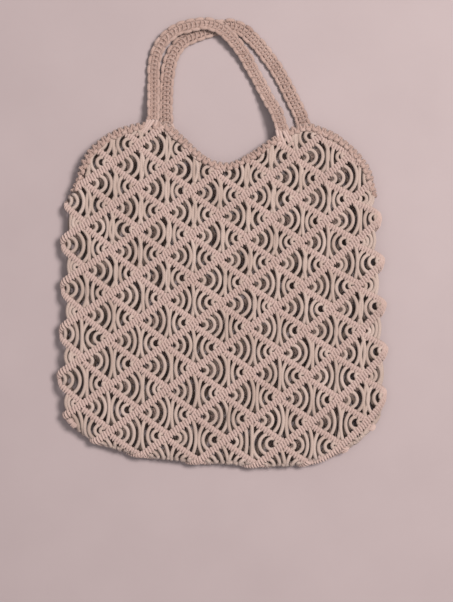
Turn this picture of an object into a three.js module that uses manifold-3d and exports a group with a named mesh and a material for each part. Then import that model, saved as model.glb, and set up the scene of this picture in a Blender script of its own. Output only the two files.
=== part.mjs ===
// A macrame tote bag laid flat, in millimetres, +Z up.
// Its body is a tube of knotted net with two faces, front_net and back_net, that meet knot to knot
// along the side folds. Long knotted ridges climb to the right on each face and shorter bars fall
// to the right between them, so the gaps are diamonds. The faces are tied together along the
// bottom, a knotted rim borders the mouth of each face, and each face has one flat sennit handle.
// The origin is the middle of the bag's box, on the surface that it lies on, with +Y to the handles.
import * as THREE from "three";
import { mergeVertices } from "three/addons/utils/BufferGeometryUtils.js";
import Module from "manifold-3d";

const wasm = await Module();
wasm.setup();

// Driving dimensions
const bodyWidth = 330; // across the widest part, fold to fold
const bodyHeight = 345; // from the bottom edge to the roots of the handles
const sideTaper = 0.03; // how much each side leans in, per millimetre of height
const netThickness = 5.5; // a ridge of double half hitches in 3 mm cord
const pocketHeight = 11.5; // free height between the two faces
const ribWidth = 8; // a ridge or bar, across its knots
const ribFoot = 6; // the same on the inside of the net, where it is narrower
const ribShoulder = 0.6; // height of a rib's widest line above the middle of the net
const ribFlat = 4; // width that the surface presses flat on the face that it lies on
const netColumns = 12; // half diamonds from fold to fold
const rowPitch = 44.1; // height of a diamond at the level row
const rowStretch = 0.0084; // each diamond is taller by twice this share than the one above it
const rowsUp = 275.2; // height of the knots of row 0 in the middle of the bag
const firstRow = -3; // rows that the net is worked from and to, past the outline
const lastRow = 8;
const netTilt = 12.1; // how far the rows drop from the middle to the right side, as a line
const netCurl = 3; // how far they rise again towards that side
const netBow = 7.5; // how far the rows rise at both sides
const backSag = 13; // how far the rows of the back net hang lower in the middle than the front's
const netSkew = 2.6; // sideways drift of each lower row, right of the middle
const levelRow = 2; // the row that doesn't drift, and that the stretch is measured from
const rimWidth = 9; // knotted border of the mouth
const handleWidth = 12; // a sennit of square knots, across
const handleThickness = 6.5;
const handleRise = 98.5; // from the roots to the middle line of a handle's top
const handlePitch = 9.2; // one square knot
const handleWaist = 0.8; // width between two knots, as a share of handleWidth
const clearance = 0.3; // between pieces that touch
const foldFacets = 2; // facets in each quarter turn of the side folds

const halfWidth = bodyWidth / 2;
const widestUp = bodyHeight * 0.22; // height at which the body is widest
const halfNet = netThickness / 2;
const foldRadius = (pocketHeight + netThickness) / 2; // of the net's middle, round a side fold
const foldLength = (foldRadius * Math.PI) / 2; // of net in each quarter turn
const foldSlack = foldLength - foldRadius - halfNet; // from the bag's side out to the fold line
const midPlane = halfNet + foldRadius; // where the two faces meet
const front = 1;
const back = -1;

// The bag's edge where the net is folded: down the left side, along the bottom and up the right.
// across is a share of half the width, up a share of the height.
const foldTable = [
  { at: "left notch", across: -0.89, up: 0.838 },
  { at: "left side, high", across: -0.963, up: 0.765 },
  { at: "left side, middle", across: -0.985, up: 0.45 },
  { at: "left side, low", across: -1, up: 0.22 },
  { at: "left corner", across: -0.955, up: 0.135 },
  { at: "left of the bottom", across: -0.8, up: 0.072 },
  { at: "bottom, left", across: -0.5, up: 0.026 },
  { at: "bottom, middle", across: 0, up: 0.002 },
  { at: "bottom, right", across: 0.5, up: 0.002 },
  { at: "right of the bottom", across: 0.8, up: 0.058 },
  { at: "right corner", across: 0.955, up: 0.135 },
  { at: "right side, low", across: 1, up: 0.24 },
  { at: "right side, middle", across: 0.995, up: 0.45 },
  { at: "right side, high", across: 0.967, up: 0.71 },
  { at: "right notch", across: 0.93, up: 0.82 },
];
// The outer edge of the mouth: shoulder, handle roots, neck and shoulder. It runs out past the
// fold line at both notches.
const mouthTable = [
  { at: "past the left notch", across: -0.918, up: 0.812 },
  { at: "left notch", across: -0.89, up: 0.842 },
  { at: "left shoulder, low", across: -0.862, up: 0.875 },
  { at: "left shoulder", across: -0.8, up: 0.925 },
  { at: "left shoulder, top", across: -0.64, up: 0.978 },
  { at: "left root, outside", across: -0.44, up: 1 },
  { at: "left root, inside", across: -0.325, up: 0.993 },
  { at: "neck, left", across: -0.2, up: 0.942 },
  { at: "neck, low left", across: -0.09, up: 0.897 },
  { at: "neck, bottom", across: 0.03, up: 0.882 },
  { at: "neck, low right", across: 0.14, up: 0.903 },
  { at: "neck, right", across: 0.25, up: 0.938 },
  { at: "right root, inside", across: 0.36, up: 0.972 },
  { at: "right root, outside", across: 0.5, up: 0.995 },
  { at: "right shoulder, top", across: 0.66, up: 0.972 },
  { at: "right shoulder", across: 0.8, up: 0.922 },
  { at: "right shoulder, low", across: 0.885, up: 0.872 },
  { at: "right notch", across: 0.925, up: 0.825 },
  { at: "past the right notch", across: 0.95, up: 0.795 },
];
// Middle lines of the handles. across is a share of half the width, and rise a share of handleRise
// above the roots. over is the share of a handle's thickness that it stands on the other handle,
// and root the share of the way up to the middle of its own face of the net.
const frontHandleTable = [
  { across: -0.418, rise: -0.05, over: 0, root: 1 },
  { across: -0.418, rise: 0.22, over: 0, root: 0.5 },
  { across: -0.42, rise: 0.43, over: 0, root: 0.14 },
  { across: -0.416, rise: 0.61, over: 0.12, root: 0.02 },
  { across: -0.392, rise: 0.745, over: 0.5, root: 0 },
  { across: -0.345, rise: 0.855, over: 0.9, root: 0 },
  { across: -0.267, rise: 0.945, over: 1.03, root: 0 },
  { across: -0.164, rise: 0.992, over: 1.04, root: 0 },
  { across: -0.085, rise: 1, over: 1.04, root: 0 },
  { across: -0.012, rise: 0.952, over: 1.04, root: 0 },
  { across: 0.055, rise: 0.855, over: 1, root: 0 },
  { across: 0.11, rise: 0.745, over: 0.7, root: 0.02 },
  { across: 0.17, rise: 0.58, over: 0.32, root: 0.05 },
  { across: 0.228, rise: 0.396, over: 0.05, root: 0.17 },
  { across: 0.282, rise: 0.223, over: 0, root: 0.48 },
  { across: 0.33, rise: 0.07, over: 0, root: 0.87 },
  { across: 0.372, rise: -0.14, over: 0, root: 1 },
];
const backHandleTable = [
  { across: -0.338, rise: -0.09, over: 0, root: 0 },
  { across: -0.34, rise: 0.22, over: 0, root: 0 },
  { across: -0.333, rise: 0.45, over: 0, root: 0 },
  { across: -0.312, rise: 0.63, over: 0, root: 0 },
  { across: -0.272, rise: 0.762, over: 0, root: 0 },
  { across: -0.212, rise: 0.85, over: 0, root: 0 },
  { across: -0.133, rise: 0.905, over: 0, root: 0 },
  { across: -0.048, rise: 0.96, over: 0, root: 0 },
  { across: 0.036, rise: 0.995, over: 0, root: 0 },
  { across: 0.109, rise: 0.965, over: 0, root: 0 },
  { across: 0.17, rise: 0.883, over: 0, root: 0 },
  { across: 0.242, rise: 0.751, over: 0, root: 0 },
  { across: 0.309, rise: 0.6, over: 0, root: 0 },
  { across: 0.376, rise: 0.416, over: 0, root: 0 },
  { across: 0.43, rise: 0.234, over: 0, root: 0 },
  { across: 0.47, rise: 0.1, over: 0, root: 0 },
  { across: 0.505, rise: -0.07, over: 0, root: 0 },
];

const outlineStep = 9; // length of the straight pieces that a curved outline is drawn with
const nearEnd = 0.02; // an edge isn't cut closer to its end than this share of its length

function smoothLine(points, step) {
  const curve = new THREE.CatmullRomCurve3(points, false, "centripetal");
  const pieces = Math.ceil(curve.getLength() / step);
  return curve.getSpacedPoints(pieces);
}

function outline(table) {
  const rows = table.map(
    (row) => new THREE.Vector3(row.across * halfWidth, row.up * bodyHeight, 0),
  );
  return smoothLine(rows, outlineStep);
}

// A flat line moved sideways, to the left of its own direction where the distance is positive.
function movedAside(line, distance) {
  return line.map((point, i) => {
    const before = line[Math.max(i - 1, 0)];
    const after = line[Math.min(i + 1, line.length - 1)];
    const along = new THREE.Vector3().subVectors(after, before).normalize();
    return new THREE.Vector3(
      point.x - along.y * distance,
      point.y + along.x * distance,
      point.z,
    );
  });
}

const foldLine = movedAside(outline(foldTable), -foldSlack);
const mouthLine = outline(mouthTable);

// The nearest point of the fold line to a flat place, and how far away it is.
function nearestFold(place) {
  const flat = new THREE.Vector3(place.x, place.y, 0);
  const piece = new THREE.Line3();
  const foot = new THREE.Vector3();
  const best = { foot: new THREE.Vector3(), distance: Infinity };
  for (let i = 1; i < foldLine.length; i++) {
    piece.set(foldLine[i - 1], foldLine[i]);
    piece.closestPointToPoint(flat, true, foot);
    const distance = foot.distanceTo(flat);
    if (distance < best.distance) {
      best.distance = distance;
      best.foot.copy(foot);
    }
  }
  return best;
}

// Bends a flat place round the fold line. Its z is how far it stands out from the net's middle.
function bend(place, face) {
  const { foot, distance } = nearestFold(place);
  const turn = Math.min(distance / foldRadius, Math.PI / 2);
  const level = Math.max(0, distance - foldLength);
  const reach =
    foldLength - foldRadius * Math.cos(turn) + level - place.z * Math.cos(turn);
  const inward = new THREE.Vector3(
    place.x - foot.x,
    place.y - foot.y,
    0,
  ).normalize();
  const bent = foot.clone().addScaledVector(inward, reach);
  bent.z = midPlane + face * (foldRadius + place.z) * Math.sin(turn);
  return bent;
}

// A knot where a ridge crosses a bar, as a flat place.
function knot(column, row, face) {
  const share = (face * (2 * column - netColumns)) / netColumns;
  const sag = face === back ? backSag * (1 - share ** 2) : 0;
  const wave = netCurl * share ** 3 + netBow * share ** 4 - netTilt * share;
  const rows = row + rowStretch * (row - levelRow) ** 2;
  const up = rowsUp - rowPitch * rows + wave - sag;
  const side = halfWidth - sideTaper * (up - widestUp);
  const drift =
    (netSkew * (row - levelRow) * (1 + share) * Math.max(0, 1 - share ** 6)) / 2;
  return new THREE.Vector3(share * (side + foldSlack) + drift, up, 0);
}

// The corners of a diamond moved in by a distance from every side, at a height.
function insetCorners(corners, distance, height) {
  return corners.map((corner, i) => {
    const before = corners[(i + corners.length - 1) % corners.length];
    const after = corners[(i + 1) % corners.length];
    const arriving = new THREE.Vector3().subVectors(corner, before).normalize();
    const leaving = new THREE.Vector3().subVectors(after, corner).normalize();
    const slant = arriving.x * leaving.y - arriving.y * leaving.x;
    const inset = leaving
      .clone()
      .sub(arriving)
      .multiplyScalar(distance / slant)
      .add(corner);
    inset.z = height;
    return inset;
  });
}

function addQuad(triangles, a, b, c, d) {
  triangles.push(a, b, c, a, c, d);
}

function addBand(triangles, outer, inner) {
  outer.forEach((corner, i) => {
    const next = (i + 1) % outer.length;
    addQuad(triangles, corner, outer[next], inner[next], inner[i]);
  });
}

function solidFrom(triangles) {
  const geometry = new THREE.BufferGeometry().setFromPoints(triangles);
  return solidOf(geometry);
}

function solidOf(geometry) {
  const bare = geometry.index ? geometry.toNonIndexed() : geometry.clone();
  bare.deleteAttribute("normal");
  bare.deleteAttribute("uv");
  const merged = mergeVertices(bare, 1e-3);
  return new wasm.Manifold(
    new wasm.Mesh({
      numProp: 3,
      vertProperties: merged.attributes.position.array,
      triVerts: new Uint32Array(merged.index.array),
    }),
  );
}

const sideKey = (start, end) =>
  [start.x, start.y, end.x, end.y].map((value) => value.toFixed(3)).join();

// The flat net, larger than the bag: every diamond is a frame of four half ribs round its gap.
// A rib's crest slopes from its middle line to its widest line on the front, and is flat below.
function flatNet(face) {
  const triangles = [];
  const sides = new Map(); // middle lines of the outer ribs, which only one diamond has
  const sideWidth = face === front ? ribWidth : ribFlat;
  const sideHeight = face === front ? ribShoulder : halfNet;
  const footWidth = face === front ? ribFoot : ribWidth;
  for (let column = 0; column <= netColumns; column++) {
    const oddRow = column % 2 ? 0 : 0.5;
    for (let row = firstRow + oddRow; row <= lastRow; row++) {
      const corners = [
        knot(column, row, face),
        knot(column - 1, row + 0.5, face),
        knot(column, row + 1, face),
        knot(column + 1, row + 0.5, face),
      ];
      if (face === back) corners.reverse();
      const crest = insetCorners(corners, 0, halfNet);
      const side = insetCorners(corners, sideWidth / 2, sideHeight);
      const foot = insetCorners(corners, footWidth / 2, -halfNet);
      const keel = insetCorners(corners, 0, -halfNet);
      addBand(triangles, crest, side);
      addBand(triangles, side, foot);
      addBand(triangles, foot, keel);
      corners.forEach((corner, i) => {
        const next = corners[(i + 1) % corners.length];
        const neighbours = sideKey(next, corner);
        if (sides.has(neighbours)) sides.delete(neighbours);
        else sides.set(sideKey(corner, next), [corner, next]);
      });
    }
  }
  for (const [start, end] of sides.values())
    addQuad(
      triangles,
      new THREE.Vector3(start.x, start.y, -halfNet),
      new THREE.Vector3(end.x, end.y, -halfNet),
      new THREE.Vector3(end.x, end.y, halfNet),
      new THREE.Vector3(start.x, start.y, halfNet),
    );
  return solidFrom(triangles);
}

// A block with a flat outline, to cut the net or a handle with.
function cutter(points) {
  const reach = 2 * midPlane + netThickness; // above and below, past everything that it cuts
  const shape = new THREE.Shape(
    points.map((point) => new THREE.Vector2(point.x, point.y)),
  );
  const geometry = new THREE.ExtrudeGeometry(shape, {
    depth: 2 * reach,
    bevelEnabled: false,
  });
  geometry.translate(0, 0, -reach);
  return solidOf(geometry);
}

function geometryOf(solid) {
  const mesh = solid.getMesh();
  const points = [];
  for (let i = 0; i < mesh.numVert; i++)
    points.push(new THREE.Vector3().fromArray(mesh.vertProperties, i * mesh.numProp));
  const geometry = new THREE.BufferGeometry().setFromPoints(points);
  return geometry.setIndex(Array.from(mesh.triVerts));
}

// Bends a flat solid into a face of the bag. Its triangles are first cut along lines at even
// distances from the fold line, so that the facets of the fold are even.
function bentGeometry(solid, face) {
  const whole = geometryOf(solid);
  const places = whole.attributes.position;
  const flat = [];
  for (let i = 0; i < places.count; i++)
    flat.push(new THREE.Vector3().fromBufferAttribute(places, i));
  const depths = flat.map((place) => nearestFold(place).distance);
  let triangles = [];
  for (let i = 0; i < whole.index.count; i += 3)
    triangles.push(Array.from(whole.index.array.subarray(i, i + 3)));
  for (let facet = 1; facet <= foldFacets; facet++) {
    const level = (foldLength * facet) / foldFacets;
    const cuts = new Map();
    const cutOf = (a, b) => {
      const key = Math.min(a, b) + "-" + Math.max(a, b);
      if (!cuts.has(key)) {
        const share = (level - depths[a]) / (depths[b] - depths[a]);
        const cut = share > nearEnd && share < 1 - nearEnd;
        cuts.set(key, cut ? flat.length : -1);
        if (cut) {
          flat.push(flat[a].clone().lerp(flat[b], share));
          depths.push(level);
        }
      }
      return cuts.get(key);
    };
    triangles = triangles.flatMap(([a, b, c]) =>
      splitTriangle(a, b, c, cutOf(a, b), cutOf(b, c), cutOf(c, a)),
    );
  }
  const bent = flat.map((place) => bend(place, face));
  const geometry = new THREE.BufferGeometry().setFromPoints(bent);
  geometry.setIndex(triangles.flat());
  if (face === back) geometry.index.array.reverse();
  return geometry;
}

// A triangle cut through one or two of its sides; -1 stands for a side that stays whole.
function splitTriangle(a, b, c, ab, bc, ca) {
  const cuts = [ab, bc, ca].filter((cut) => cut >= 0).length;
  if (cuts === 0) return [[a, b, c]];
  if (cuts === 1) {
    if (ab >= 0) return [[a, ab, c], [ab, b, c]];
    if (bc >= 0) return [[a, b, bc], [a, bc, c]];
    return [[a, b, ca], [ca, b, c]];
  }
  if (ab < 0) return [[a, b, bc], [a, bc, ca], [ca, bc, c]];
  if (bc < 0) return [[a, ab, ca], [ab, b, c], [ab, c, ca]];
  return [[a, ab, c], [ab, b, bc], [ab, bc, c]];
}

// Everything inside the fold line, and above it where the mouth opens.
function insideFold() {
  const beyond = 1.2; // of half the width and of the height
  return cutter([
    ...movedAside(foldLine, clearance / 2),
    new THREE.Vector3(beyond * halfWidth, beyond * bodyHeight, 0),
    new THREE.Vector3(-beyond * halfWidth, beyond * bodyHeight, 0),
  ]);
}

// Everything above a line that runs inside the mouth's edge.
function aboveMouth(distance) {
  return cutter([
    ...movedAside(mouthLine, -distance),
    new THREE.Vector3(bodyWidth, 0.7 * bodyHeight, 0),
    new THREE.Vector3(bodyWidth, 2 * bodyHeight, 0),
    new THREE.Vector3(-bodyWidth, 2 * bodyHeight, 0),
    new THREE.Vector3(-bodyWidth, 0.7 * bodyHeight, 0),
  ]);
}

// One face of the net: cut to the fold line and to the inside of the rim, then bent.
function netFace(face) {
  const cut = flatNet(face)
    .intersect(insideFold())
    .subtract(aboveMouth(rimWidth + clearance));
  const pieces = cut.decompose();
  pieces.sort((a, b) => b.volume() - a.volume());
  return bentGeometry(pieces[0], face);
}

// Six corners of a flattened cord or sennit, from its right side round under its bottom.
function sixSided(width, thickness) {
  const corner = width * 0.34;
  return [
    [width / 2, 0],
    [corner, -thickness / 2],
    [-corner, -thickness / 2],
    [-width / 2, 0],
    [-corner, thickness / 2],
    [corner, thickness / 2],
  ];
}

// A closed bar along a line, with a section for each point; the sections stay upright.
function bar(line, sectionAt) {
  const upright = new THREE.Vector3(0, 0, 1);
  const rings = line.map((point, i) => {
    const before = line[Math.max(i - 1, 0)];
    const after = line[Math.min(i + 1, line.length - 1)];
    const along = new THREE.Vector3().subVectors(after, before).setZ(0);
    const right = along.normalize().cross(upright);
    return sectionAt(i).map(([aside, up]) =>
      point.clone().addScaledVector(right, aside).addScaledVector(upright, up),
    );
  });
  const triangles = [];
  for (let i = 1; i < rings.length; i++) addBand(triangles, rings[i - 1], rings[i]);
  const first = rings[0];
  const last = rings[rings.length - 1];
  for (let i = 2; i < first.length; i++) {
    triangles.push(first[0], first[i], first[i - 1]);
    triangles.push(last[0], last[i - 1], last[i]);
  }
  const geometry = new THREE.BufferGeometry().setFromPoints(triangles);
  return mergeVertices(geometry, 1e-3);
}

// Width at a place along a row of knots: full at each knot, narrow between two.
const waisted = (i, waist) => (i % 2 ? 1 : waist);

function rim(face) {
  const line = movedAside(mouthLine, -rimWidth / 2);
  const flat = bar(line, () => sixSided(rimWidth, netThickness));
  return bentGeometry(solidOf(flat).intersect(insideFold()), face);
}

// A handle runs down into the rim's place and is cut off where the rim begins.
function handle(table) {
  const lowest = handleThickness / 2;
  const rise = midPlane + foldRadius - lowest;
  const points = table.map(
    (row) =>
      new THREE.Vector3(
        row.across * halfWidth,
        bodyHeight + row.rise * handleRise,
        lowest + row.over * (handleThickness + clearance) + row.root * rise,
      ),
  );
  const line = smoothLine(points, handlePitch / 2);
  const whole = bar(line, (i) =>
    sixSided(handleWidth * waisted(i, handleWaist), handleThickness),
  );
  const body = cutter([
    ...movedAside(mouthLine, clearance).reverse(),
    new THREE.Vector3(-bodyWidth, 0, 0),
    new THREE.Vector3(bodyWidth, 0, 0),
  ]);
  return geometryOf(solidOf(whole).subtract(body));
}

const cottonColour = 0xd9bfae;
function piece(name, geometry) {
  const material = new THREE.MeshStandardMaterial({
    color: cottonColour,
    roughness: 0.9,
    metalness: 0,
  });
  const mesh = new THREE.Mesh(geometry, material);
  mesh.name = name;
  return mesh;
}

const bag = new THREE.Group();
bag.name = "macrame_bag";
bag.add(piece("front_net", netFace(front)));
bag.add(piece("back_net", netFace(back)));
bag.add(piece("front_rim", rim(front)));
bag.add(piece("back_rim", rim(back)));
bag.add(piece("front_handle", handle(frontHandleTable)));
bag.add(piece("back_handle", handle(backHandleTable)));

// The middle of the bag's box comes to the origin.
const middle = new THREE.Box3().setFromObject(bag).getCenter(new THREE.Vector3());
bag.position.set(-middle.x, -middle.y, 0);

export default bag;
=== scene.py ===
import math
import bmesh
import bpy
import numpy as np
from mathutils import Matrix, Vector


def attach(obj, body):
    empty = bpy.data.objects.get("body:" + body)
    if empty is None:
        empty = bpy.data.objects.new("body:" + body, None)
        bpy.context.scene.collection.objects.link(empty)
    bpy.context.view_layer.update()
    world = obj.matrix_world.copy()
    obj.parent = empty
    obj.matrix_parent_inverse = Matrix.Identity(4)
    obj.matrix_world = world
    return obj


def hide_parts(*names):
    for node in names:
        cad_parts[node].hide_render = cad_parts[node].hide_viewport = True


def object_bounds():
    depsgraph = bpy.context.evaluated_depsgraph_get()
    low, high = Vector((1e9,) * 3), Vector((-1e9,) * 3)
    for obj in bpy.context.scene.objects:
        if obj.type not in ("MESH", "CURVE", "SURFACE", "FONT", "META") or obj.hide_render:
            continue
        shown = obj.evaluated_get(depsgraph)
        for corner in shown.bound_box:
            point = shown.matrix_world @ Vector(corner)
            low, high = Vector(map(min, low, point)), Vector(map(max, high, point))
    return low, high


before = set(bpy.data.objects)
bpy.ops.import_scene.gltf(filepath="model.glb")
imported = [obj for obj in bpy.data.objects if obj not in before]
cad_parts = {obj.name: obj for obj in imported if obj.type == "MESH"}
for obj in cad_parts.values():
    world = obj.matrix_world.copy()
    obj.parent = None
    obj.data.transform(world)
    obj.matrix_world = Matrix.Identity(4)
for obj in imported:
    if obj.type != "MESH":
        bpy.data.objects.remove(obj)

cadLow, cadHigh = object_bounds()
mm = 0.001
front, back = 1, -1
dice = np.random.default_rng(12)

bag = {
    "halfWidth": 165.0,
    "height": 345.0,
    "widest": 0.22,  # share of the height where the body is widest
    "taper": 0.03,  # lean of each side
    "thickness": 5.5,  # of the net, at a ridge
    "pocket": 11.5,  # free height between the faces
    "rimWidth": 9.0,
    "dip": 1.536,  # of the bottom edge under the drawing's zero line
}
rows = {
    "columns": 12,  # half diamonds from fold to fold
    "pitch": 44.1,  # height of a diamond in the middle
    "stretch": 0.37,  # how much the pitch grows towards the bottom
    "up": 275.2,  # height of row 0 in the middle
    "first": -3,
    "last": 8,
    "tilt": 12.1,
    "curl": 3.0,
    "bow": 7.5,
    "backSag": 13.0,
    "skew": 2.6,
    "level": 2,
    "barDrop": 5.2,  # how far a bar starts under the ridge that it leaves
}
# The bag's edge, as shares of half the width and of the height: down the left, along the
# bottom and up the right.
edgeShares = [
    (-0.89, 0.838), (-0.963, 0.765), (-0.985, 0.45), (-1, 0.22), (-0.955, 0.135),
    (-0.8, 0.072), (-0.5, 0.026), (0, 0.002), (0.5, 0.002), (0.8, 0.058),
    (0.955, 0.135), (1, 0.24), (0.995, 0.45), (0.967, 0.71), (0.93, 0.82),
]
# The mouth's outer edge from left to right: shoulder, roots, neck, roots and shoulder.
mouthShares = [
    (-0.918, 0.812), (-0.89, 0.842), (-0.862, 0.875), (-0.8, 0.925), (-0.64, 0.978),
    (-0.44, 1), (-0.325, 0.993), (-0.2, 0.942), (-0.09, 0.897), (0.03, 0.882),
    (0.14, 0.903), (0.25, 0.938), (0.36, 0.972), (0.5, 0.995), (0.66, 0.972),
    (0.8, 0.922), (0.885, 0.872), (0.925, 0.825), (0.95, 0.795),
]

foldRadius = (bag["pocket"] + bag["thickness"]) / 2
foldLength = foldRadius * math.pi / 2
foldSlack = foldLength - foldRadius - bag["thickness"] / 2
midPlane = foldRadius + bag["thickness"] / 2
drawingToFrame = np.array([(cadLow.x + cadHigh.x) / 2 / mm, cadLow.y / mm + bag["dip"], 0])


def unit(v):
    return v / np.maximum(np.linalg.norm(v, axis=-1, keepdims=True), 1e-9)


def evenly(line, step=None, count=None):
    gaps = np.linalg.norm(np.diff(line, axis=0), axis=1)
    along = np.concatenate([[0], np.cumsum(gaps)])
    count = count or max(2, int(math.ceil(along[-1] / step)) + 1)
    at = np.linspace(0, along[-1], count)
    return np.stack([np.interp(at, along, line[:, k]) for k in range(line.shape[1])], axis=1)


def smoothLine(points, step=None, count=None):
    # Centripetal Catmull-Rom through the points, as the solids' outlines are drawn.
    p = np.array(points, float)
    p = np.vstack([2 * p[0] - p[1], p, 2 * p[-1] - p[-2]])
    t = np.linspace(0, 1, 16)[:, None]
    out = []
    for a, b, c, d in zip(p[:-3], p[1:-2], p[2:-1], p[3:]):
        ab, bc, cd = (math.sqrt(max(np.linalg.norm(v), 1e-9)) for v in (b - a, c - b, d - c))
        m1 = ((b - a) / ab - (c - a) / (ab + bc) + (c - b) / bc) * bc
        m2 = ((c - b) / bc - (d - b) / (bc + cd) + (d - c) / cd) * bc
        out.append(b + m1 * t + (3 * (c - b) - 2 * m1 - m2) * t**2 + (2 * (b - c) + m1 + m2) * t**3)
    return evenly(np.vstack(out), step, count)


def movedAside(line, distance):
    along = unit(np.gradient(line, axis=0))
    return line + distance * np.stack([-along[:, 1], along[:, 0]], axis=1)


bagSize = np.array([bag["halfWidth"], bag["height"]])
foldLine = movedAside(smoothLine(np.array(edgeShares) * bagSize, 3), -foldSlack)
mouthLine = smoothLine(np.array(mouthShares) * bagSize, 3)


def nearest(line, places):
    # Foot on a line of each place, its distance, and whether it is left of the line.
    a, b = line[:-1], line[1:]
    piece = b - a
    foot = np.empty_like(places)
    distance = np.empty(len(places))
    left = np.empty(len(places), bool)
    for start in range(0, len(places), 4000):
        p = places[start:start + 4000]
        share = ((p[:, None] - a) * piece).sum(-1) / (piece**2).sum(-1)
        feet = a + np.clip(share, 0, 1)[..., None] * piece
        far = np.linalg.norm(p[:, None] - feet, axis=-1)
        best = far.argmin(1)
        i = np.arange(len(p))
        foot[start:start + 4000] = feet[i, best]
        distance[start:start + 4000] = far[i, best]
        side = piece[best, 0] * (p - a[best])[:, 1] - piece[best, 1] * (p - a[best])[:, 0]
        left[start:start + 4000] = side > 0
    return foot, distance, left


def bend(places, lift, face):
    # Puts flat places on a face, lift above the net's middle. Past the fold they turn onto
    # the other face. Gives the points and the way out of the net at each.
    foot, distance, inside = nearest(foldLine, places)
    inward = unit(places - foot) * np.where(inside, 1, -1)[:, None]
    face = np.where(inside, face, -face)
    turn = np.minimum(distance / foldRadius, math.pi / 2)
    level = np.maximum(0, distance - foldLength)
    reach = foldLength - foldRadius * np.cos(turn) + level - lift * np.cos(turn)
    out = np.empty((len(places), 3))
    out[:, :2] = foot + inward * reach[:, None]
    out[:, 2] = midPlane + face * (foldRadius + lift) * np.sin(turn)
    normal = np.empty_like(out)
    normal[:, :2] = -inward * np.cos(turn)[:, None]
    normal[:, 2] = face * np.sin(turn)
    return out + drawingToFrame, unit(normal)


def knot(column, row, face):
    share = face * (2 * column - rows["columns"]) / rows["columns"]
    sag = rows["backSag"] * (1 - share**2) if face == back else 0
    wave = rows["curl"] * share**3 + rows["bow"] * share**4 - rows["tilt"] * share
    up = rows["up"] - rows["pitch"] * row - rows["stretch"] * (row - rows["level"]) ** 2 + wave - sag
    side = bag["halfWidth"] - bag["taper"] * (up - bag["widest"] * bag["height"])
    drift = rows["skew"] * (row - rows["level"]) * (1 + share) * max(0, 1 - share**6) / 2
    return np.array([share * (side + foldSlack) + drift, up])


def runsInside(line, rimCover, overFold):
    # The stretches of a flat line that lie in the net: under the rim's edge and inside the
    # fold, or a little past it along the bottom, where the cords go under.
    foot, distance, inside = nearest(foldLine, line[:, :2])
    bottom = foot[:, 1] < bag["height"] * 0.17
    kept = inside | (bottom & (distance < overFold))
    mouthFoot, mouthDistance, above = nearest(mouthLine, line[:, :2])
    kept &= ~above & (mouthDistance > rimCover)
    edges = np.flatnonzero(np.diff(np.concatenate([[0], kept.astype(int), [0]])))
    return [line[a:b] for a, b in zip(edges[::2], edges[1::2]) if b - a > 2]


print("outline and rows worked out")


# Cord blanks: short meshes with rings of points, which are then laid along many paths.
def readBlank(bm, ringOf, sideOf, steps, sides, closed):
    bmesh.ops.recalc_face_normals(bm, faces=bm.faces[:])
    ring = np.array([ringOf(v.co) for v in bm.verts])
    side = np.array([sideOf(v.co) for v in bm.verts])
    corners, sizes, ringAt, sideAt = [], [], [], []
    bm.verts.index_update()
    for f in bm.faces:
        ids = [v.index for v in f.verts]
        r, s = ring[ids], side[ids]
        if closed and r.max() - r.min() > 1:
            r = np.where(r == 0, steps, r)
        if len(ids) == 4 and s.max() - s.min() > 1:
            s = np.where(s == 0, sides, s)
        corners += ids
        sizes.append(len(ids))
        ringAt += list(r)
        sideAt += list(s)
    bm.free()
    return {
        "ring": ring, "side": side, "sides": sides, "closed": closed,
        "corners": np.array(corners), "sizes": np.array(sizes),
        "ringAt": np.array(ringAt), "sideAt": np.array(sideAt),
    }


def loopBlank(steps, sides):
    # A closed loop of cord: one round section, spun a full turn.
    bm = bmesh.new()
    place = Matrix.Translation((1, 0, 0)) @ Matrix.Rotation(math.pi / 2, 4, "X")
    bmesh.ops.create_circle(bm, segments=sides, radius=0.25, matrix=place)
    bmesh.ops.spin(bm, geom=bm.verts[:] + bm.edges[:], cent=(0, 0, 0), axis=(0, 0, 1),
                   angle=2 * math.pi, steps=steps, use_merge=True)
    ringOf = lambda c: round(math.atan2(c.y, c.x) / (2 * math.pi / steps)) % steps
    sideOf = lambda c: round(math.atan2(c.z, math.hypot(c.x, c.y) - 1) / (2 * math.pi / sides)) % sides
    return readBlank(bm, ringOf, sideOf, steps, sides, True)


def openBlank(steps, sides):
    # A length of cord: a round section, extruded step by step and closed at both ends.
    bm = bmesh.new()
    bmesh.ops.create_circle(bm, segments=sides, radius=1, matrix=Matrix.Rotation(math.pi / 2, 4, "X"))
    edges = bm.edges[:]
    for _ in range(steps):
        made = bmesh.ops.extrude_edge_only(bm, edges=edges)["geom"]
        edges = [g for g in made if isinstance(g, bmesh.types.BMEdge) and all(v in made for v in g.verts)]
        bmesh.ops.translate(bm, verts=[g for g in made if isinstance(g, bmesh.types.BMVert)], vec=(0, 1, 0))
    bmesh.ops.holes_fill(bm, edges=bm.edges[:], sides=0)
    ringOf = lambda c: round(c.y)
    sideOf = lambda c: round(math.atan2(c.z, c.x) / (2 * math.pi / sides)) % sides
    return readBlank(bm, ringOf, sideOf, steps, sides, False)


# Painted shade: towards the inside of the bag the cords' colour is darkened, where little light falls.
paintedInnerShade = {"from": 0.5, "over": 2.2, "colour": "4A3B31", "share": 0.7}


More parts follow.
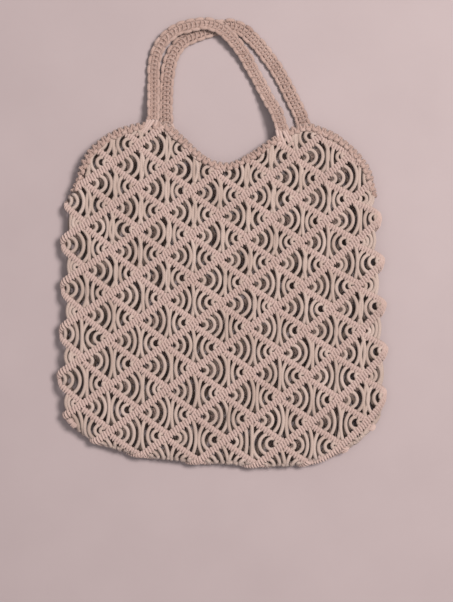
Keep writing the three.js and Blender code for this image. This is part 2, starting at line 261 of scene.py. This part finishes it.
def layCords(blank, points, outward, radius, shade, base=None, away=None):
    # points and outward are (copies, rings, 3); shade is one number a copy, for its colour.
    # base and away are the net's middle and its way out, where the net's inside gets painted shade.
    closed = blank["closed"]
    if closed:
        along = np.roll(points, -1, axis=1) - np.roll(points, 1, axis=1)
        loop = np.concatenate([points, points[:, :1]], axis=1)
    else:
        along = np.gradient(points, axis=1)
        loop = points
    along = unit(along)
    across = unit(np.cross(outward, along))
    outward = unit(np.cross(along, across))
    angle = 2 * math.pi * blank["side"] / blank["sides"]
    ring = blank["ring"]
    radius = np.broadcast_to(np.asarray(radius, float), points.shape[:2])[:, ring, None]
    spread = np.cos(angle)[:, None] * outward[:, ring] + np.sin(angle)[:, None] * across[:, ring]
    verts = points[:, ring] + radius * spread
    # Painted shade mask: rises from 0 to 1 as a point lies deeper towards the bag's inside than the cord's
    # middle.
    inward = np.zeros(verts.shape[:2])
    if base is not None:
        depth = ((verts - base) * away).sum(-1)
        inward = np.clip((paintedInnerShade["from"] - depth) / paintedInnerShade["over"], 0, 1)
    gaps = np.linalg.norm(np.diff(loop, axis=1), axis=-1)
    length = np.concatenate([np.zeros((len(points), 1)), np.cumsum(gaps, axis=1)], axis=1)
    u = length[:, blank["ringAt"]]
    v = np.broadcast_to(blank["sideAt"] / blank["sides"], u.shape)
    count = len(points)
    first = np.arange(count)[:, None] * len(ring)
    return {
        "verts": verts.reshape(-1, 3) * mm,
        "corners": (blank["corners"] + first).ravel(),
        "sizes": np.tile(blank["sizes"], count),
        "uv": np.stack([u, v], axis=-1).reshape(-1, 2),
        "shade": np.repeat(np.asarray(shade, float), len(ring)),
        "inward": inward.ravel(),
    }


def makePiece(name, batches, material, *replaced):
    # Joins batches of cords into one mesh on the body.
    first, corners = 0, []
    for b in batches:
        corners.append(b["corners"] + first)
        first += len(b["verts"])
    kinds = ("verts", "sizes", "uv", "shade", "inward")
    joined = {kind: np.concatenate([b[kind] for b in batches]) for kind in kinds}
    corners = np.concatenate(corners)
    mesh = bpy.data.meshes.new(name)
    mesh.vertices.add(len(joined["verts"]))
    mesh.vertices.foreach_set("co", joined["verts"].astype(np.float32).ravel())
    mesh.loops.add(len(corners))
    mesh.loops.foreach_set("vertex_index", corners.astype(np.int32))
    mesh.polygons.add(len(joined["sizes"]))
    starts = np.concatenate([[0], np.cumsum(joined["sizes"])[:-1]])
    mesh.polygons.foreach_set("loop_start", starts.astype(np.int32))
    mesh.update(calc_edges=True)
    mesh.polygons.foreach_set("use_smooth", np.ones(len(joined["sizes"]), bool))
    uv = mesh.uv_layers.new(name="cordMap")
    uv.data.foreach_set("uv", joined["uv"].astype(np.float32).ravel())
    # cordShade is a random tone per cord; the inward mask carries painted shade.
    for key, label in (("shade", "cordShade"), ("inward", "cordPaintedShade")):
        values = mesh.attributes.new(label, "FLOAT", "POINT")
        values.data.foreach_set("value", joined[key].astype(np.float32))
    mesh.validate()
    piece = bpy.data.objects.new(name, mesh)
    bpy.context.scene.collection.objects.link(piece)
    mesh.materials.append(material)
    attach(piece, "root")
    if replaced:
        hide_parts(*replaced)
    print(name, "has", int((joined["sizes"] - 2).sum()), "triangles")
    return piece


def fromHex(text):
    # sRGB hex to linear.
    parts = [int(text[i:i + 2], 16) / 255 for i in (0, 2, 4)]
    return [c / 12.92 if c <= 0.04045 else ((c + 0.055) / 1.055) ** 2.4 for c in parts] + [1]


def addNode(tree, kind, settings=(), **links):
    # One node with its settings, its input values and its input links.
    node = tree.nodes.new(kind)
    for name, value in dict(settings).items():
        setattr(node, name, value)
    for name, value in links.items():
        key = int(name[1:]) if name[0] == "n" and name[1:].isdigit() else name.replace("_", " ")
        socket = node.inputs[key]
        if isinstance(value, bpy.types.NodeSocket):
            tree.links.new(value, socket)
        else:
            socket.default_value = value
    return node


def newMaterial(name):
    material = bpy.data.materials.new(name)
    material.use_nodes = True
    tree = material.node_tree
    tree.nodes.clear()
    output = addNode(tree, "ShaderNodeOutputMaterial")
    shader = addNode(tree, "ShaderNodeBsdfPrincipled")
    tree.links.new(shader.outputs[0], output.inputs["Surface"])
    return material, tree, shader


# Natural cotton cord, spun and laid up in twisted strands: matt, with soft grooves that run
# round it, darkened with painted shade, loose fibres that catch the light, and a colour that drifts from
# cord to cord.
def cottonCord(name, pale, deep, groove, relief):
    # twistPitch, fibre and drift are in millimetres. relief is how strongly its twist shows, in bump and in
    # painted groove shade; groove is that shade's colour.
    cord = {
        "twistPitch": 5.0, "strands": 3, "fibre": 0.35, "drift": 26.0,
        "groove": 0.45, "grooveShade": 0.6,
    }
    material, tree, shader = newMaterial(name)
    uv = addNode(tree, "ShaderNodeUVMap", {"uv_map": "cordMap"}).outputs[0]
    split = addNode(tree, "ShaderNodeSeparateXYZ", Vector=uv)
    along = addNode(tree, "ShaderNodeMath", {"operation": "MULTIPLY"},
                    n0=split.outputs[0], n1=1 / cord["twistPitch"])
    turned = addNode(tree, "ShaderNodeMath", {"operation": "ADD"}, n0=along.outputs[0], n1=split.outputs[1])
    phase = addNode(tree, "ShaderNodeMath", {"operation": "MULTIPLY"},
                    n0=turned.outputs[0], n1=math.pi * cord["strands"])
    wave = addNode(tree, "ShaderNodeMath", {"operation": "SINE"}, n0=phase.outputs[0])
    lay = addNode(tree, "ShaderNodeMath", {"operation": "ABSOLUTE"}, n0=wave.outputs[0])
    space = addNode(tree, "ShaderNodeTexCoord").outputs["Object"]
    fibres = addNode(tree, "ShaderNodeTexNoise", Vector=space, Scale=1 / (cord["fibre"] * mm) / 6, Detail=4)
    drift = addNode(tree, "ShaderNodeTexNoise", Vector=space, Scale=1 / (cord["drift"] * mm), Detail=3)
    shade = addNode(tree, "ShaderNodeAttribute", {"attribute_name": "cordShade"})
    mixed = addNode(tree, "ShaderNodeMath", {"operation": "MULTIPLY_ADD"},
                    n0=drift.outputs[0], n1=0.7, n2=shade.outputs["Fac"])
    colour = addNode(tree, "ShaderNodeMix", {"data_type": "RGBA"}, Factor=mixed.outputs[0],
                     n6=fromHex(pale), n7=fromHex(deep))
    # Painted shade: the grooves between the strands are mixed towards the groove colour.
    grooved = addNode(tree, "ShaderNodeMapRange", n0=lay.outputs[0], n1=0.0,
                      n2=cord["groove"], n3=cord["grooveShade"] * relief, n4=0.0)
    final = addNode(tree, "ShaderNodeMix", {"data_type": "RGBA"}, Factor=grooved.outputs[0],
                    n6=colour.outputs[2], n7=fromHex(groove))
    # Painted shade: the inner sides of the cords are mixed towards a dark brown by their inward mask.
    inward = addNode(tree, "ShaderNodeAttribute", {"attribute_name": "cordPaintedShade"})
    inner = addNode(tree, "ShaderNodeMath", {"operation": "MULTIPLY"},
                    n0=inward.outputs["Fac"], n1=paintedInnerShade["share"])
    final = addNode(tree, "ShaderNodeMix", {"data_type": "RGBA"}, Factor=inner.outputs[0],
                    n6=final.outputs[2], n7=fromHex(paintedInnerShade["colour"]))
    height = addNode(tree, "ShaderNodeMath", {"operation": "MULTIPLY_ADD"},
                     n0=fibres.outputs[0], n1=0.5, n2=lay.outputs[0])
    bump = addNode(tree, "ShaderNodeBump", Strength=relief, Distance=0.5 * mm, Height=height.outputs[0])
    tree.links.new(final.outputs[2], shader.inputs["Base Color"])
    tree.links.new(bump.outputs[0], shader.inputs["Normal"])
    shader.inputs["Roughness"].default_value = 0.92
    shader.inputs["Sheen Weight"].default_value = 0.2
    shader.inputs["Sheen Roughness"].default_value = 0.6
    shader.inputs["Specular IOR Level"].default_value = 0.25
    return material


knottedCotton = cottonCord("knotted_cotton_cord", "C9B4AD", "AE978E", "786054", 0.2)
bareCotton = cottonCord("bare_cotton_cord", "C4B3AA", "9F8C81", "6E5B4C", 0.45)
handleCotton = cottonCord("handle_cotton_cord", "C7AFA5", "9C8176", "553E33", 0.6)
print("cotton materials made")

hitchSteps = 12
hitchBlank = loopBlank(hitchSteps, 6)
strandBlank = openBlank(10, 7)
shortBlank = openBlank(6, 6)


def frameAlong(points, normal):
    along = unit(np.gradient(points, axis=0))
    across = unit(np.cross(normal, along))
    return along, across, unit(np.cross(along, across))


# How much hitches differ where the slack is 1: angles in radians, widths and heights as shares.
uneven = {"lean": 0.16, "roll": 0.08, "width": 0.06, "height": 0.08}


def hitchLoops(points, normal, halfWidth, halfHeight, radius, slant, slack):
    # Flat loops round a carrier, one at each point, leaning by slant. slack is their unevenness.
    along, across, out = frameAlong(points, normal)
    count = len(points)
    lean = slant + slack * dice.normal(0, uneven["lean"], count)
    roll = slack * dice.normal(0, uneven["roll"], count)
    wide = (halfWidth - radius) * (1 + slack * dice.normal(0, uneven["width"], count))
    tall = (halfHeight - radius) * (1 + slack * dice.normal(0, uneven["height"], count))
    tilted = unit(np.cos(lean)[:, None] * across + np.sin(lean)[:, None] * along + roll[:, None] * out)
    angle = np.linspace(0, 2 * math.pi, hitchSteps, endpoint=False)
    c, s = np.cos(angle)[:, None], np.sin(angle)[:, None]
    loops = points[:, None] + (wide[:, None] * c.T)[..., None] * tilted[:, None]
    loops = loops + (tall[:, None] * s.T)[..., None] * out[:, None]
    outward = (tall[:, None] * c.T)[..., None] * tilted[:, None]
    outward = unit(outward + (wide[:, None] * s.T)[..., None] * out[:, None])
    return layCords(hitchBlank, loops, outward, radius, dice.normal(0.18, 0.04, count),
                    points[:, None], out[:, None])


# Each "cord" from here on is the radius of a cord.
ridge = {
    "width": 8.7, "height": 6.5, "cord": 2.6, "pitch": 2.9, "slant": 0.14, "slack": 0.35,
    "rimCover": 6.5,  # how far from the mouth's edge the net's cords go under the rim
    "overFold": 7.0,  # how far past the bottom fold they are drawn
}
bar = {
    "width": 7.6, "height": 5.8, "cord": 2.45, "pitch": 2.85, "slant": -0.14, "slack": 0.35,
    "lift": -0.8,  # its middle lies a little lower than the ridges'
    "from": 0.6,  # how far from the drop's end the first hitch stands
    "trim": 4.4,  # how far from the next ridge's middle the last one stands
}


def ridgePiece(face, name, node):
    batches = []
    for k in np.arange(rows["first"] + 0.5, rows["last"] + rows["columns"] / 2):
        line = smoothLine([knot(c, k - c / 2, face) for c in range(rows["columns"] + 1)], 1.0)
        for run in runsInside(line, ridge["rimCover"], ridge["overFold"]):
            centres = evenly(run, ridge["pitch"])
            if len(centres) < 3:
                continue
            points, normal = bend(centres, 0, face)
            batches.append(hitchLoops(points, normal, ridge["width"] / 2, ridge["height"] / 2,
                                      ridge["cord"], ridge["slant"], ridge["slack"]))
    return makePiece(name, batches, knottedCotton, node)


def barPiece(face, name):
    batches = []
    for column in range(rows["columns"]):
        for row in np.arange(rows["first"] + (0 if column % 2 else 0.5), rows["last"]):
            start, end = knot(column, row, face), knot(column + 1, row + 0.5, face)
            start = start - np.array([0, rows["barDrop"]])
            way = unit(end - start)
            line = evenly(np.array([start + way * bar["from"], end - way * bar["trim"]]), 1.0)
            for run in runsInside(line, ridge["rimCover"], ridge["overFold"]):
                centres = evenly(run, bar["pitch"])
                if len(centres) < 3:
                    continue
                points, normal = bend(centres, bar["lift"], face)
                batches.append(hitchLoops(points, normal, bar["width"] / 2, bar["height"] / 2,
                                          bar["cord"], bar["slant"], bar["slack"]))
    return makePiece(name, batches, knottedCotton)


# The bare cords of a diamond: four bow round its left corner and four round its right one.
fan = {
    "cord": 1.92,
    "ends": (5.0, 10.0, 16.4, 22.8),  # how far across from its corner each one leaves the knots
    "bows": (8.6, 15.6, 21.6, 26.4),  # how far across it bows
    "weights": (0.1, 0.45, 0.8, 1.0),  # how much it follows its diamond's lean
    "lean": 0.9,
    "tuck": 2.4,  # how far from a ridge's middle the bare cord starts
    "foldPull": 0.62,  # the cords that end at a fold are drawn in by this share
    "sink": -1.5,  # height where a cord goes under a ridge, from the net's middle
    "rise": (0.2, 1.5),
}


def strandPath(upper, lower, ends, bow, lift):
    # A round bow of cord from an upper to a lower edge, each given as its two ends from the
    # corner outwards. ends and bow are measured across from the corner.
    side = np.sign(upper[1][0] - upper[0][0])
    feet = []
    for edge, down in ((upper, -1), (lower, 1)):
        along = unit(edge[1] - edge[0])
        foot = edge[0] + along * ends / abs(along[0])
        feet.append(foot + np.array([-along[1], along[0]]) * np.sign(along[0]) * down * fan["tuck"])
    start, end = feet
    half = (start - end) / 2
    chord = np.linalg.norm(half)
    swell = max(bow - ends, 0.3)
    ring = (chord**2 + swell**2) / (2 * swell)
    reach = 2 * math.atan2(swell, chord)
    out = np.array([half[1], -half[0]]) / chord * side
    angle = np.linspace(reach, -reach, 33)[:, None]
    centre = (start + end) / 2 + out * (swell - ring)
    flat = centre + ring * (np.cos(angle) * out + np.sin(angle) * half / chord)
    height = fan["sink"] + lift * np.sin(np.linspace(0, math.pi, 33))[:, None] ** 0.8
    return np.hstack([flat, height])


def strandPiece(face, name):
    points, outward, shades = [], [], []
    for column in range(rows["columns"] + 1):
        for row in np.arange(rows["first"] + (0.5 if column % 2 else 0), rows["last"]):
            top, bottom = knot(column, row - 0.5, face), knot(column, row + 0.5, face)
            drop = np.array([0, rows["barDrop"]])
            atFold = column in (0, rows["columns"])
            pull = fan["foldPull"] if atFold else 1
            lean = fan["lean"] + dice.normal(0, 1.3)
            for side in (-1, 1):
                if not 0 <= column + side <= rows["columns"]:
                    continue
                corner = knot(column + side, row, face)
                if side < 0:
                    upper, lower = (corner, top), (corner - drop, bottom)
                else:
                    upper, lower = (corner, top - drop), (corner, bottom)
                for ends, bow, weight in zip(fan["ends"], fan["bows"], fan["weights"]):
                    bow = pull * (bow - side * weight * lean) + dice.normal(0, 0.5)
                    ends = pull * ends + dice.normal(0, 0.4)
                    line = strandPath(upper, lower, ends, bow, dice.uniform(*fan["rise"]))
                    for run in runsInside(line, ridge["rimCover"] - 1, ridge["overFold"]):
                        cut = evenly(run, count=11)
                        place, normal = bend(cut[:, :2], cut[:, 2], face)
                        points.append(place)
                        outward.append(normal)
                        shades.append(dice.normal(0.2, 0.1))
    points, outward = np.array(points), np.array(outward)
    rings = strandBlank["ring"]
    cords = layCords(strandBlank, points, outward, fan["cord"], shades, points[:, rings], outward[:, rings])
    return makePiece(name, [cords], bareCotton)


ridgePiece(front, "front_ridges", "front_net")
barPiece(front, "front_bars")
strandPiece(front, "front_fans")
ridgePiece(back, "back_ridges", "back_net")
barPiece(back, "back_bars")
strandPiece(back, "back_fans")
print("net knotted")

# Middle lines of the handles: share of half the width, share of the rise above the roots, how
# far it stands on the other handle, and how far up it is towards its own face.
handleRise = 98.5
frontHandle = [
    (-0.418, -0.05, 0, 1), (-0.418, 0.22, 0, 0.5), (-0.42, 0.43, 0, 0.14), (-0.416, 0.61, 0.12, 0.02),
    (-0.392, 0.745, 0.5, 0), (-0.345, 0.855, 0.9, 0), (-0.267, 0.945, 1.03, 0), (-0.164, 0.992, 1.04, 0),
    (-0.085, 1, 1.04, 0), (-0.012, 0.952, 1.04, 0), (0.055, 0.855, 1, 0), (0.11, 0.745, 0.7, 0.02),
    (0.17, 0.58, 0.32, 0.05), (0.228, 0.396, 0.05, 0.17), (0.282, 0.223, 0, 0.48), (0.33, 0.07, 0, 0.87),
    (0.372, -0.14, 0, 1),
]
backHandle = [
    (-0.341, -0.09, 0, 0), (-0.344, 0.22, 0, 0), (-0.338, 0.45, 0, 0), (-0.318, 0.63, 0, 0),
    (-0.278, 0.77, 0, 0), (-0.217, 0.86, 0, 0), (-0.137, 0.915, 0, 0), (-0.048, 0.96, 0, 0),
    (0.036, 0.995, 0, 0), (0.109, 0.965, 0, 0), (0.17, 0.883, 0, 0), (0.242, 0.751, 0, 0),
    (0.309, 0.6, 0, 0), (0.376, 0.416, 0, 0), (0.43, 0.234, 0, 0), (0.47, 0.1, 0, 0), (0.505, -0.07, 0, 0),
]
sennit = {
    "knot": 9.2,  # pitch of the square knots
    "height": 6.5,
    "loopWidth": 10.6,
    "loopCord": 1.8,
    "arch": 1.5,  # how far a loop bows along the sennit where it crosses
    "edgeAt": 4.85,  # of the cords that stand at the edges, from the middle
    "edgeHalf": 4.3,
    "edgeCord": 1.75,
    "edgeTuck": 0.9,
    "filler": 1.5,
    "fillerAt": 1.7,
}


def handleLine(table):
    lowest = sennit["height"] / 2 + 0.05
    line = []
    for across, up, over, root in table:
        height = lowest + over * (6.5 + 0.3) + root * (midPlane + foldRadius - lowest)
        line.append((across * bag["halfWidth"], bag["height"] + up * handleRise, height))
    line = smoothLine(line, 0.5)
    foot, distance, above = nearest(mouthLine, line[:, :2])
    line = line[above & (distance > 0.5)]
    return line + drawingToFrame


def handlePiece(table, name, node, wider):
    # A square knot shows two loops over the filler cords and one standing cord at each edge.
    line = handleLine(table)
    centres = evenly(line, sennit["knot"] / 2)
    along, across, out = frameAlong(centres, np.tile([0.0, 0, 1], (len(centres), 1)))
    count = len(centres)
    radius = sennit["loopCord"]
    wide, tall = sennit["loopWidth"] / 2 + wider - radius, sennit["height"] / 2 - radius
    angle = np.linspace(0, 2 * math.pi, hitchSteps, endpoint=False)
    c, s = np.cos(angle)[None, :, None], np.sin(angle)[None, :, None]
    lean = dice.normal(0, 0.09, count) + 0.1 * (-1.0) ** np.arange(count)
    tilted = unit(np.cos(lean)[:, None] * across + np.sin(lean)[:, None] * along)
    loops = centres[:, None] + wide * c * tilted[:, None] + tall * s * out[:, None]
    loops = loops + sennit["arch"] * (1 - c**2) * s * along[:, None]
    outward = unit(tall * c * tilted[:, None] + wide * s * out[:, None])
    batches = [layCords(hitchBlank, loops, outward, radius, dice.normal(0.18, 0.08, count))]
    reach = np.linspace(-1, 1, 7)[None, :, None]
    for parity, edge in ((0, 1), (1, -1)):
        m, t, a, o = (x[parity::2][:, None] for x in (centres, along, across, out))
        aside = sennit["edgeAt"] + wider + dice.normal(0, 0.2, (len(m), 1, 1))
        aside = aside - sennit["edgeTuck"] * np.abs(reach) ** 2.6
        place = m + t * reach * sennit["edgeHalf"] + a * edge * aside + o * (0.9 - 1.1 * reach**2)
        batches.append(layCords(shortBlank, place, np.broadcast_to(o, place.shape), sennit["edgeCord"],
                                dice.normal(0.16, 0.08, len(place))))
    core = evenly(line, count=61)
    t, a, o = frameAlong(core, np.tile([0.0, 0, 1], (61, 1)))
    sides = np.array([-1, 1])[:, None, None]
    place = core[None] + sides * sennit["fillerAt"] * a[None] + 0.35 * o[None]
    batches.append(layCords(openBlank(60, 6), place, np.broadcast_to(o, place.shape),
                            sennit["filler"], [0.3, 0.3]))
    return makePiece(name, batches, handleCotton, node)


handlePiece(frontHandle, "front_handle_sennit", "front_handle", 0.1)
handlePiece(backHandle, "back_handle_sennit", "back_handle", 0.8)
print("handles knotted")

# The mouth's border: lark's head knots side by side, each two loops with a bar over them.
rim = {
    "knotPitch": 6.4,
    "width": 9.2,
    "height": 5.8,
    "cord": 2.4,
    "barCord": 1.85,
    "barHalf": 2.3,
    "barSide": 1.9,  # how far the bars stand from the middle, to the net's side
    "rootGap": 5.0,  # half the width left free at a handle's root
}
roots = {  # where each handle's cords go down into the net, and how far they lean
    front: ((-0.424, -10.0), (0.355, 6.0)),
    back: ((-0.338, 3.0), (0.482, 4.0)),
}
rootCords = {"count": 4, "spread": 3.1, "fanned": 4.2, "length": 15.0, "cord": 1.75}


def netSide(knots, across):
    # Whether the across direction at each knot of the rim points to the net.
    toNet = unit(np.array([0.0, bag["height"] / 2]) - knots)
    return (across[:, 0, :2] * toNet).sum(-1)[:, None, None]


def rimPiece(face, name, node):
    middle = movedAside(mouthLine, -rim["width"] / 2)
    foot, distance, inside = nearest(foldLine, middle)
    kept = inside.copy()
    for across, lean in roots[face]:
        kept &= np.abs(middle[:, 0] - across * bag["halfWidth"] - lean / 3) > rim["rootGap"]
    edges = np.flatnonzero(np.diff(np.concatenate([[0], kept.astype(int), [0]])))
    batches = []
    for a, b in zip(edges[::2], edges[1::2]):
        if b - a < 4:
            continue
        knots = evenly(middle[a:b], rim["knotPitch"])
        for offset in (-rim["knotPitch"] / 4, rim["knotPitch"] / 4):
            way = unit(np.gradient(knots, axis=0))
            points, normal = bend(knots + way * offset, 0, face)
            batches.append(hitchLoops(points, normal, rim["width"] / 2, rim["height"] / 2, rim["cord"],
                                      -0.3 if offset < 0 else 0.3, 1.0))
        points, normal = bend(knots, 0, face)
        along, across, out = (x[:, None] for x in frameAlong(points, normal))
        reach = np.linspace(-1, 1, 7)[None, :, None]
        skew = dice.normal(0, 0.3, (len(knots), 1, 1))
        aside = dice.normal(rim["barSide"], 0.6, (len(knots), 1, 1)) * np.sign(netSide(knots, across))
        place = points[:, None] + along * reach * rim["barHalf"] + across * (aside + skew * reach * 2.4)
        place = place + out * (rim["height"] / 2 - 0.9 - 1.2 * reach**2)
        batches.append(layCords(shortBlank, place, np.broadcast_to(out, place.shape), rim["barCord"],
                                dice.normal(0.18, 0.09, len(place))))
    return makePiece(name, batches, handleCotton, node)


def rootPiece(face, name):
    points, outward = [], []
    for across, lean in roots[face]:
        x = across * bag["halfWidth"]
        y = np.interp(x, mouthLine[:, 0], mouthLine[:, 1])
        for i in np.arange(rootCords["count"]) - (rootCords["count"] - 1) / 2:
            t = np.linspace(0, 1, 11)
            apart = rootCords["spread"] + (rootCords["fanned"] - rootCords["spread"]) * t**1.3
            xs = x + i * apart + lean * t**1.2
            ys = y + 1.0 - (rootCords["length"] + dice.uniform(-2, 2)) * t
            xs = xs + dice.normal(0, 0.9) * np.sin(np.pi * t)
            lift = 0.4 - 2.2 * t + dice.uniform(0.4, 1.8) * np.sin(np.pi * t)
            place, normal = bend(np.stack([xs, ys], axis=1), lift, face)
            points.append(place)
            outward.append(normal)
    cords = layCords(strandBlank, np.array(points), np.array(outward), rootCords["cord"],
                     dice.normal(0.2, 0.1, len(points)))
    return makePiece(name, [cords], knottedCotton)


rimPiece(front, "front_rim_knots", "front_rim")
rimPiece(back, "back_rim_knots", "back_rim")
rootPiece(front, "front_root_cords")
rootPiece(back, "back_root_cords")
print("rims and roots knotted")


# A pale stone floor, ground and polished: faint clouding and a soft shine.
def makeFloor():
    floor = {"half": 1.6, "pale": "A99C9D", "deep": "9F9293", "cloud": 0.09, "roughness": 0.62}
    bm = bmesh.new()
    bmesh.ops.create_grid(bm, x_segments=1, y_segments=1, size=floor["half"])
    mesh = bpy.data.meshes.new("floor")
    bm.to_mesh(mesh)
    bm.free()
    made = bpy.data.objects.new("floor", mesh)
    bpy.context.scene.collection.objects.link(made)
    material, tree, shader = newMaterial("polished_stone_floor")
    space = addNode(tree, "ShaderNodeTexCoord").outputs["Object"]
    cloud = addNode(tree, "ShaderNodeTexNoise", Vector=space, Scale=1 / floor["cloud"], Detail=5)
    colour = addNode(tree, "ShaderNodeMix", {"data_type": "RGBA"}, Factor=cloud.outputs[0],
                     n6=fromHex(floor["pale"]), n7=fromHex(floor["deep"]))
    tree.links.new(colour.outputs[2], shader.inputs["Base Color"])
    shader.inputs["Roughness"].default_value = floor["roughness"]
    mesh.materials.append(material)


# The camera looks straight down from above the bag, one photo pixel to a millimetre.
def makeCamera():
    view = {"centre": (0.004, -0.058), "distance": 1.4, "tall": 0.602, "level": 0.012}
    data = bpy.data.cameras.new("camera")
    data.lens = data.sensor_width / 2 / (view["tall"] / 2 / view["distance"])
    data.clip_start = 0.01
    camera = bpy.data.objects.new("camera", data)
    camera.location = (*view["centre"], view["level"] + view["distance"])
    bpy.context.scene.collection.objects.link(camera)
    bpy.context.scene.camera = camera


def makeLights():
    lamps = (
        {"name": "window", "at": (1.15, 0.6, 2.6), "size": 0.7, "watts": 88.0, "colour": "FFF6F2"},
        {"name": "ceiling", "at": (0.0, 0.0, 2.2), "size": 2.2, "watts": 15.0, "colour": "FFF9F8"},
    )
    for lamp in lamps:
        data = bpy.data.lights.new(lamp["name"], "AREA")
        data.size = lamp["size"]
        data.energy = lamp["watts"]
        data.color = fromHex(lamp["colour"])[:3]
        made = bpy.data.objects.new(lamp["name"], data)
        made.location = lamp["at"]
        made.rotation_euler = (-Vector(lamp["at"])).to_track_quat("-Z", "Y").to_euler()
        bpy.context.scene.collection.objects.link(made)
    world = bpy.data.worlds.new("room")
    bpy.context.scene.world = world
    world.use_nodes = True
    sky = world.node_tree.nodes["Background"]
    sky.inputs["Color"].default_value = fromHex("F4ECEE")
    sky.inputs["Strength"].default_value = 0.3
    bpy.context.scene.view_settings.view_transform = "Standard"


makeFloor()
makeCamera()
makeLights()
print("floor, camera and lights placed")
